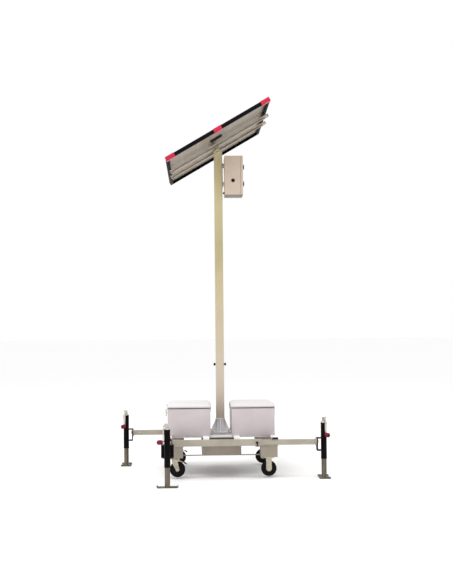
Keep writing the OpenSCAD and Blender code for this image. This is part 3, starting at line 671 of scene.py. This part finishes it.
jackMaster = softCopy("jack_body", "jack_tube_front_right", 2)
r = jack["tube"]
collars = [lathe("jack_body", [(r - 0.5, z), (r + 1.6, z + 1), (r + 1.6, z + h - 1), (r - 0.5, z + h)], 48)
           for z, h in ((182.5, 9), (518, 11))]
nippleLine = [(0, 0), (4, 0), (4, 3), (2.4, 4), (2.4, 7), (3.2, 8), (3.2, 9), (0, 10)]
nipple = put(lathe("jack_body", nippleLine, 12), at(0, r - 1, 452) @ turned(-90, "X"))
welds = [weldRun("jack_body", [(x, y, z) for x, y in arc(0, 0, r + 1, 100, 260, 22)], 2.6)
         for z in (262, 386)]
for part in (*collars, nipple, *welds):
    put(part, at(jack["axis"], -armOffset, 0))
jackMaster = join("jack_body", jackMaster, *collars, nipple, *welds)
soften(jackMaster, 0)
spread(jackMaster, "jack_body", black, "black_paint", "jack", quarterTurn, "jack_tube")

legMaster = softCopy("jack_foot", "jack_leg_front_right", 1.2)
footRing = arc(jack["axis"], -armOffset, jack["leg"] + 1, 0, 360, 40)
legMaster = join("jack_foot", legMaster, weldRun("foot_weld", [(x, y, 5) for x, y in footRing], 2.6))
spread(legMaster, "jack_foot", galvanised, "zinc_leg", "leg", quarterTurn, "jack_leg")

crankAt = {}  # each crank's own frame: origin under the jack's axis, +X towards the folded handle
for side in sides:
    turn, fold = (Vector(joints[f"{name}_{side}"]["pos_m"]) for name in ("crank_turn", "crank_fold"))
    away = fold - turn
    swing = Matrix.Rotation(math.atan2(away.y, away.x), 4, "Z")
    crankAt[side] = Matrix.Translation((turn.x, turn.y, 0)) @ swing
headMaster = softCopy("crank_clevis", "crank_head_front_right", 1)
put(headMaster, crankAt["front_right"].inverted())
washerLine = [(4, 0), (8, 0), (8, 1.6), (4, 1.6), (4, 0)]
washers = [put(lathe("crank_clevis", washerLine, 20), at(12, y, 573) @ turned(90, "X"))
           for y in (-14.2, 15.8)]
thrust = lathe("crank_clevis", [(15, 541), (21, 541), (22, 542.2), (21, 544), (15, 544.4)], 40)
headMaster = join("crank_clevis", headMaster, *washers, thrust)
soften(headMaster, 0)
spread(headMaster, "crank_clevis", zinc, "zinc_plate", "crank", crankAt, "crank_head")

crankBar = {"grip": 415, "wide": 16, "half": 3, "eye": (12, 573), "elbow": (36, 562), "foot": (42, 403)}
ex, ez = crankBar["eye"]
bx, bz = crankBar["elbow"]
fx, fz = crankBar["foot"]
half = crankBar["half"]
gripAt = at(fx + half - 1, 0, crankBar["grip"]) @ turned(90, "Y")
outline = (arc(ex, ez, 8.5, 70, 290, 10) + [(bx - half - 4, bz - half + 1), (bx - half, bz - half - 4)]
           + arc(fx, fz + half, half, 180, 360, 4) + [(bx + half + 1, bz - 4), (bx + 2, bz + half - 1)])
bar = soften(slab("crank_bar", outline, crankBar["wide"]), 1.2, 2)
barBoss = put(lathe("crank_bar", [(0, 0), (9, 0), (9, 3), (7, 4), (0, 4)], 24), gripAt)
bar = soften(join("crank_bar", bar, barBoss), 0)
spread(bar, "crank_bar", zinc, "zinc_plate", "handle", crankAt, "crank_handle")

grip = {"start": 4, "end": 53, "radius": 22, "rings": 5}
r, low, high = grip["radius"], grip["start"], grip["end"]
profile = [(4.5, low), (13, low), (16, low + 1.5), (19.5, low + 5)]
pitch = (high - low - 14) / grip["rings"]
for i in range(grip["rings"]):  # finger rings
    z = low + 7 + i * pitch
    profile += [(r - 1.6, z), (r, z + pitch * 0.25), (r, z + pitch * 0.75)]
profile += [(r - 2.5, high - 6), (16, high - 1.5), (11, high), (4.5, high), (4.5, low)]
gripMaster = put(soften(lathe("crank_grip", profile, 40), 0, angle=40), gripAt)
spread(gripMaster, "crank_grip", plastic["redGripPolyamide"], "red_guard", "handle", crankAt)
nubMaster = lathe("grip_end", [(0, 50), (8.6, 50), (8.6, 56), (7.4, 58), (3, 58), (3, 57), (0, 57)], 24)
put(soften(nubMaster, 0), gripAt)
spread(nubMaster, "grip_end", blackAbs, "black_plastic", "handle", crankAt)
print("arms and jacks are made")


# casters

tyre = {"outer": 75, "inner": 51, "half": 21}
o, n, h = tyre["outer"], tyre["inner"], tyre["half"]
tyreProfile = [(n, 2 - h), (n + 5, -h + 0.5), (n + 12, -h), (o - 6, 1.5 - h), (o - 2, 5 - h), (o, 10 - h),
               (o, -5), (o - 1.6, -4), (o - 1.6, 4), (o, 5), (o, h - 10), (o - 2, h - 5), (o - 6, h - 1.5),
               (n + 12, h), (n + 5, h - 0.5), (n, h - 2), (n, 2 - h)]
core = {"bore": 6.1, "hub": 19, "web": 4.5, "rim": 52, "ribs": 8}
coreHalf = [(core["bore"], 23.5), (17, 23.5), (core["hub"], 21.5), (core["hub"] + 1, core["web"] + 3),
            (25, core["web"]), (44, core["web"]), (47, 9), (48, 17), (core["rim"], 18.6)]
coreProfile = [(r, -z) for r, z in coreHalf] + coreHalf[::-1] + [(core["bore"], -23.5)]
tyreMaster = soften(lathe("tyre", tyreProfile, 72), 0, angle=30)
coreMaster = lathe("wheel_core", coreProfile, 48)
ribs = [put(boxOf("wheel_core", (18, -1.6, -14), (48, 1.6, 14)), turned(360 / core["ribs"] * i, "Z"))
        for i in range(core["ribs"])]
coreMaster = soften(join("wheel_core", coreMaster, *ribs), 0.5, 1)
wheelAt = {}
for side in sides:
    low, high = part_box("wheel_" + side)
    wheelAt[side] = Matrix.Translation((low + high) / 2) @ turned(90, "X")
spread(tyreMaster, "tyre", rubber, "wheel_rubber", "wheel", wheelAt, "wheel")
spread(coreMaster, "wheel_core", blackAbs, "black_plastic", "wheel", wheelAt)

axle = {"swivelX": -430.5, "reach": 35.2, "z": 88}
axleNut = {"across": 17, "height": 7, "washer": 11}
softPiece("caster_plates", "caster_mounts", caster, "base", 1.2)
for end, sign in (("front", -1), ("rear", 1)):
    y = sign * casterOffset
    fork = softCopy("swivel_fork_" + end, "caster_fork_" + end, 1.4)
    race = lathe("race", [(26, 184), (34, 184), (37, 187), (37, 192), (33, 196), (26, 197)], 40)
    put(race, at(-casterOffset, y, 0))
    soften(join("swivel_fork_" + end, fork, race), 0)
    finish(fork, caster, "zinc_plate", "caster_" + end, "caster_fork_" + end)
    for name, x, body in (("axle_nuts_", axle["swivelX"], "caster_" + end),
                          ("rigid_axle_nuts_", casterOffset, "base")):
        nuts = [put(hexBolt(name, **axleNut), at(x, y + s * axle["reach"], axle["z"]) @ turned(-90 * s, "X"))
                for s in (-1, 1)]
        finish(join(name + end, *nuts), zinc, "zinc_plate", body)
    softPiece("brake_lever_" + end, "brake_pedal_" + end, caster, "pedal_" + end, 1)
    padLine = [(88, 154), (91, 158), (96, 157), (116, 144), (117, 140), (114, 137), (111, 137.5), (91, 151)]
    pad = soften(slab("brake_pad_" + end, padLine, 42), 1.6)
    treads = [put(boxOf("treads", (-1.2, -18, 0), (1.2, 18, 2)), at(x, 0, z) @ turned(33, "Y"))
              for x, z in ((96, 156), (102, 152), (108, 148))]
    pad = put(join("brake_pad_" + end, pad, *treads), at(-casterOffset, y, 0))
    finish(pad, sealRubber, "black_plastic", "pedal_" + end)
print("casters are made")


# battery boxes

box = {"in": 105, "out": 527, "front": -348, "back": 303, "bottom": 396, "rim": 659, "corner": 4}
softPiece("battery_box_shells", "battery_boxes", boxGrey, "base", 3, 3)
trims = []
boxWelds = []
for side in (-1, 1):  # a rolled rim below the gasket and a weld round the foot
    middle = (side * (box["in"] + box["out"]) / 2, (box["front"] + box["back"]) / 2)
    edge = closedRing(box["out"] - box["in"], box["back"] - box["front"], box["corner"], 3, middle)
    trims.append(weldRun("box_rims", [(x, y, box["rim"]) for x, y in edge], 1.8, 0))
    for y in (box["front"], box["back"]):
        start, stop = ((side * box[end], y, box["bottom"] + 1) for end in ("in", "out"))
        boxWelds.append(weldRun("box_welds", seam(start, stop, 9), 2))
finish(join("box_rims", *trims), boxGrey, "box_paint", "base")
finish(join("box_welds", *boxWelds), boxGrey, "box_paint", "base")
softPiece("lid_gaskets", "box_seals", sealRubber, "base", 1.5)
softPiece("battery_cases", "batteries", casing, "base", 4, 3)
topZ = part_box("batteries")[1].z / mm
posts = []
for x in (-190, 190):
    for y in (-215, 25):
        post = lathe("battery_posts", [(0, 0), (9, 0), (9, 3), (7, 3.5), (6.2, 14), (5.2, 15), (0, 15)], 24)
        posts.append(put(soften(post, 0), at(x, y, topZ - 2)))
finish(join("battery_posts", *posts), zinc, "zinc_plate", "base")

lidRoll = {"body": 2.5, "hem": 1.8, "hemZ": 672.5, "out": 530, "in": 102, "front": -351, "back": 306}
latchPlate = {"w": 46, "h": 84, "y": -20, "z": 599, "screws": 34}
for side, sign in (("left", -1), ("right", 1)):
    lid = softCopy("box_cover_" + side, "box_lid_" + side, lidRoll["body"], 3)
    middle = (sign * (lidRoll["out"] + lidRoll["in"]) / 2, (lidRoll["back"] + lidRoll["front"]) / 2)
    edge = closedRing(lidRoll["out"] - lidRoll["in"], lidRoll["back"] - lidRoll["front"], 4, 3, middle)
    hem = weldRun("hem", [(x, y, lidRoll["hemZ"]) for x, y in edge], lidRoll["hem"], 0)
    finish(join("box_cover_" + side, lid, hem), paint["whiteLidPowderCoat"], "lid_paint", "lid_" + side,
           "box_lid_" + side)
    softPiece("t_latch_" + side, "lid_latch_" + side, zinc, "latch_" + side, 1.5, 3)
    outline = roundedRectangle(latchPlate["w"], latchPlate["h"], 6)
    backing = soften(slab("latch_plate_" + side, outline, 2), 0.6)
    screwLine = [(0, 0), (4, 0), (3.4, 1.6), (1.4, 2), (1.4, 1), (0, 1)]
    screws = [put(lathe("screw", screwLine, 16), at(0, -1, z) @ turned(90, "X"))
              for z in (-latchPlate["screws"], latchPlate["screws"])]
    backing = put(join("latch_plate_" + side, backing, *screws),
                  at(sign * (box["out"] + 1), latchPlate["y"], latchPlate["z"]) @ turned(90 * sign, "Z"))
    finish(backing, zinc, "zinc_plate", "base")
    pinLine = [(0, -72), (2.6, -72), (2.6, -70), (1.7, -69.4), (1.7, 69.4), (2.6, 70), (2.6, 72), (0, 72)]
    pins = [put(lathe("hinge_pins", pinLine, 16), at(sign * 99, y, 668) @ turned(90, "X"))
            for y in (-200, 150)]
    finish(join("hinge_pins_" + side, *pins), zinc, "zinc_plate", "base")
print("battery boxes are made")


# mast and enclosure

def squareTube(name, size, radius, wall, bottom, top):  # a hollow square tube standing up
    obj = drawLine(name, [(x, y, bottom) for x, y in closedRing(size, size, radius, 6)])
    bpy.ops.mesh.extrude_region_move(TRANSFORM_OT_translate={"value": (0, 0, (top - bottom) * mm)})
    closeUp(obj)
    applyModifier(obj, "SOLIDIFY", thickness=wall * mm, offset=-1, use_even_offset=True)
    return obj


mast = {"size": 84, "corner": 7, "wall": 4, "bottom": 541, "top": 3240, "tilt": 3250, "knobs": 1084}
tube = soften(squareTube("mast_column", mast["size"], mast["corner"], mast["wall"], mast["bottom"],
                         mast["top"]), 0.8)
finish(tube, mastCream, slotOf["mast_tube"], "mast", "mast_tube")
softPiece("tilt_head", "mast_head", mastCream, "mast", 2, 3)
cheek = ([(-37, -45), (37, -45), (37, -9), (42, -9), (42, 6)] + arc(0, 0, 33.5, 18, 162, 12)
         + [(-42, 6), (-42, -9), (-37, -9)])
cheeks = [put(soften(slab("tilt_cheeks", cheek, 4.8), 1, 2), at(0, side * 34.6, mast["tilt"]))
          for side in (-1, 1)]
finish(join("tilt_cheeks", *cheeks), mastCream, "mast_paint", "mast")
pivotBolts = [put(hexBolt("tilt_bolts", **pivotNut), at(0, side * 36.8, mast["tilt"])
                  @ turned(-90 * side, "X")) for side in (-1, 1)]
finish(join("tilt_bolts", *pivotBolts), zinc, "zinc_plate", "mast")

knob = {"radius": 13.2, "lobe": 1.8, "lobes": 6, "start": 48, "end": 64}
rim = []
for i in range(48):
    a = 2 * math.pi * i / 48
    r = knob["radius"] + knob["lobe"] * math.cos(knob["lobes"] * a)
    rim.append((r * math.cos(a), r * math.sin(a)))
for side, sign in (("right", 1), ("left", -1)):
    head = soften(slab("clamp_knob_" + side, rim, knob["end"] - knob["start"] - 1), 2, 3, 50)
    put(head, at(0, -(knob["end"] + knob["start"] - 1) / 2, 0))
    stem = lathe("stem", [(0, 39), (5, 39), (5, 42), (10, 42.5), (10, 46), (8, 48.5), (0, 48.5)], 32)
    cap = lathe("cap", [(0, 62), (8, 62), (7.4, 63.6), (0, 64)], 32)
    for part in (stem, cap):
        soften(put(part, turned(90, "X")), 0)
    head = put(join("clamp_knob_" + side, head, stem, cap), at(0, 0, mast["knobs"]) @ turned(90 * sign, "Z"))
    finish(head, blackAbs, slotOf["mast_knob_" + side], "knob_" + side, "mast_knob_" + side)

enclosure = {"middle": 3000, "door": 247.4, "seal": 223, "bead": 1.2, "sealBead": 1.3}
shell = plastic["enclosureAbs"]
softPiece("enclosure_shell", "enclosure_body", shell, "mast", 5, 4)
door = softCopy("enclosure_cover", "enclosure_door", 5, 4)
outline = closedRing(232, 348, 12, 6, (0, enclosure["middle"]))
raised = weldRun("raised", [(enclosure["door"], y, z) for y, z in outline], enclosure["bead"], 0)
finish(join("enclosure_cover", door, raised), shell, slotOf["enclosure_door"], "door", "enclosure_door")
outline = closedRing(270, 386, 10, 4, (0, enclosure["middle"]))
gasket = weldRun("door_gasket", [(enclosure["seal"], y, z) for y, z in outline], enclosure["sealBead"], 0)
finish(gasket, sealRubber, "black_plastic", "mast")
for level, z in (("lower", 2913), ("upper", 3083)):
    lock = softCopy("quarter_turn_" + level, "door_lock_" + level, 1, 2)
    collar = put(soften(lathe("collar", [(8, 0), (11, 0), (11, 2), (8.6, 3.5), (8, 3.5), (8, 0)], 32), 0),
                 at(247.6, -115, z) @ turned(90, "Y"))
    finish(join("quarter_turn_" + level, lock, collar), blackAbs, slotOf["door_lock_" + level],
           "lock_" + level, "door_lock_" + level)
glands = softCopy("enclosure_fittings", "enclosure_glands", 0.8, 2)
plugRing = put(soften(lathe("ring", [(11, 8.4), (13, 7.6), (15, 8.4), (15, 9), (11, 9), (11, 8.4)], 32), 0),
               at(147, -139.5, 2946) @ turned(90, "X"))
finish(join("enclosure_fittings", glands, plugRing), blackAbs, slotOf["enclosure_glands"], "mast",
       "enclosure_glands")
softPiece("enclosure_bracket_rails", "enclosure_bracket", zinc, "mast", 1.5)
low, high = (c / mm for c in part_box("charge_controller"))
controller = softCopy("solar_controller", "charge_controller", 2.5, 3)
fins = [boxOf("fins", (low.x + 1, y, low.z + 8), (low.x + 9, y + 2, high.z - 8))
        for y in range(int(low.y) + 8, int(high.y) - 8, 9)]
finish(join("solar_controller", controller, *fins), casing, slotOf["charge_controller"],
       "mast", "charge_controller")
print("mast and enclosure are made")


# solar module

# X up the slope, Z out of the glass
panelAt = Matrix.Translation(pivot) @ Matrix.Rotation(-slopeAngle, 4, "Y")
module = {"centre": 24, "w": 1134, "l": 1722, "glassBottom": 95, "glassTop": 98}
section = [(0.5, 65), (30, 65), (30, 67), (11.6, 67), (11, 67.6), (11, 98.2), (10.2, 99.4), (9.4, 100),
           (0.8, 100), (0, 99.2), (0, 88), (0.8, 87.4), (0.8, 86), (0, 85.4), (0, 65.5)]


def mitredBar(length):  # the frame's section pulled out, its ends cut at 45 degrees
    obj = slab("module_frame", section, length)
    for end in (-1, 1):
        only(obj)
        bpy.ops.object.mode_set(mode="EDIT")
        bpy.ops.mesh.select_all(action="SELECT")
        bpy.ops.mesh.bisect(plane_co=(0, end * length / 2 * mm, 0), plane_no=(1, end, 0), use_fill=True,
                            clear_outer=True)
        closeUp(obj)
    return soften(obj, 0.5, 2)


bars = []
for angle in (0, 90, 180, 270):
    length, across = (module["w"], module["l"]) if angle % 180 else (module["l"], module["w"])
    place = at(module["centre"], 0, 0) @ turned(angle, "Z") @ at(-across / 2, 0, 0)
    bars.append(put(mitredBar(length), place))
finish(put(join("module_frame", *bars), panelAt), metal["blackAnodisedAluminium"], "black_aluminium", "panel",
       "panel_frame")
w, l = module["w"] / 2 - 10.8, module["l"] / 2 - 10.8
c = module["centre"]
sheet = soften(boxOf("module_glass", (c - w, -l, module["glassBottom"]), (c + w, l, module["glassTop"])), 0.4)
finish(put(sheet, panelAt), glass, "laminate", "panel", "panel_laminate")
film = boxOf("module_backsheet", (c - w, -l, 93.4), (c + w, l, module["glassBottom"]))
only(film)
bpy.ops.object.mode_set(mode="EDIT")
bpy.ops.mesh.select_all(action="SELECT")
bpy.ops.mesh.subdivide(number_cuts=6)
bpy.ops.object.mode_set(mode="OBJECT")
finish(put(soften(film, 0.3), panelAt), backsheet, "laminate", "panel")

railSlots = [  # the bolts' slot underneath and a groove along each side
    [(-5, 30), (5, 30), (5, 38), (9, 38), (9, 46), (-9, 46), (-9, 38), (-5, 38)],
    [(-22, 45), (-14, 45), (-14, 55), (-22, 55)],
    [(14, 45), (22, 45), (22, 55), (14, 55)],
]
rails = softCopy("module_rails", "panel_rails", 0)
for y in (-190, 190):
    for outline in railSlots:
        cutter = put(slab("slot", outline, 1400), panelAt @ at(36, y, 0) @ turned(90, "Z"))
        applyModifier(rails, "BOOLEAN", object=cutter, operation="DIFFERENCE", solver="EXACT")
        bpy.data.objects.remove(cutter)
finish(soften(rails, 0.6), metal["millAluminium"], slotOf["panel_rails"], "panel", "panel_rails")
railBolt = {"across": 10, "height": 4, "washer": 8}
railY = 190
hardware = []
for t, reach in ((-512, railY), (562, railY), (-18, 150), (18, 150)):
    for y in (-reach, reach):
        hardware.append(put(hexBolt("rail_bolts", **railBolt), panelAt @ at(t, y, 35) @ turned(180, "X")))
finish(join("rail_bolts", *hardware), galvanised, "zinc_plate", "panel")
caps = []
for t in (-537, 610):
    for y in (-railY, railY):
        cap = soften(boxOf("rail_caps", (t - 1.5, y - 20.4, 34.8), (t + 1.5, y + 20.4, 65)), 0.8)
        caps.append(put(cap, panelAt))
finish(join("rail_caps", *caps), blackAbs, "black_plastic", "panel")
softPiece("edge_guards", "panel_guards", plastic["redGuardPvc"], "panel", 1, 3)

junction = {"start": -47, "end": 85, "near": -382, "far": -328, "low": 74, "high": 93.4}
a, b = Vector((junction["start"], junction["near"], 0)), Vector((junction["end"], junction["far"], 0))
up, inset = Vector((0, 0, junction["low"])), Vector((6, 6, 0))
jbox = boxOf("module_junction_box", a + up + Vector((0, 0, 2)), b + Vector((0, 0, junction["high"])))
cover = soften(boxOf("cover", a + up + inset, b + up - inset + Vector((0, 0, 4))), 1.5)
outletLine = [(0, 0), (6, 0), (6, 5), (4.5, 6), (4.5, 14), (3, 15), (0, 15)]
outlets = [put(lathe("outlet", outletLine, 20), at(t, junction["far"] - 1, 83) @ turned(-90, "X"))
           for t in (junction["start"] + 26, junction["end"] - 26)]
jbox = join("module_junction_box", soften(jbox, 4, 3), cover, *outlets)
finish(put(soften(jbox, 0), panelAt), blackAbs, slotOf["junction_box"], "panel", "junction_box")
print("solar module is made")
